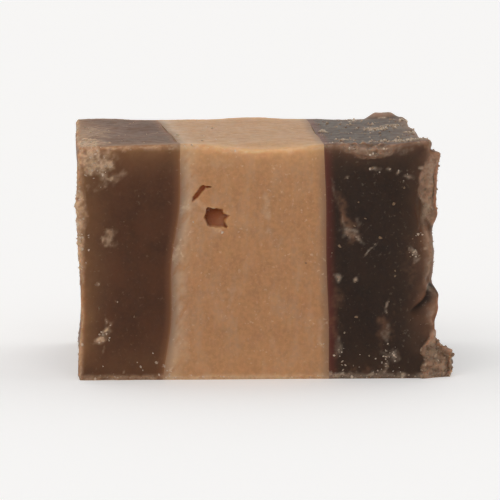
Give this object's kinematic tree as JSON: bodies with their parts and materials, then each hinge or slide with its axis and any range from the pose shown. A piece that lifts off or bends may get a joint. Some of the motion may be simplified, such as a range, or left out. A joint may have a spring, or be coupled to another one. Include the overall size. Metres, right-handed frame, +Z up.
{
  "type": "fudge cube",
  "caption": "Rectangular piece of fudge in upright layers of milk chocolate, caramel and dark chocolate, with rough cut edges, a burst bubble and a torn flake at its foot.",
  "frame": {"origin": "centre of the flat face that the piece rests on", "axes": "+Z up; +X from the milk chocolate layer through the caramel to the dark chocolate layer; the front face, with the burst bubble, looks along -Y"},
  "size_m": [0.0351, 0.0285, 0.0225],
  "materials": {
    "milk_fudge": "satin, waxy cut fudge",
    "caramel_fudge": "satin, fine-grained cut fudge",
    "dark_fudge": "satin, waxy cut fudge with pale crumbs"
  },
  "bodies": {
    "root": {"milk_layer": "milk_fudge", "caramel_layer": "caramel_fudge", "dark_layer": "dark_fudge"}
  },
  "joints": []
}
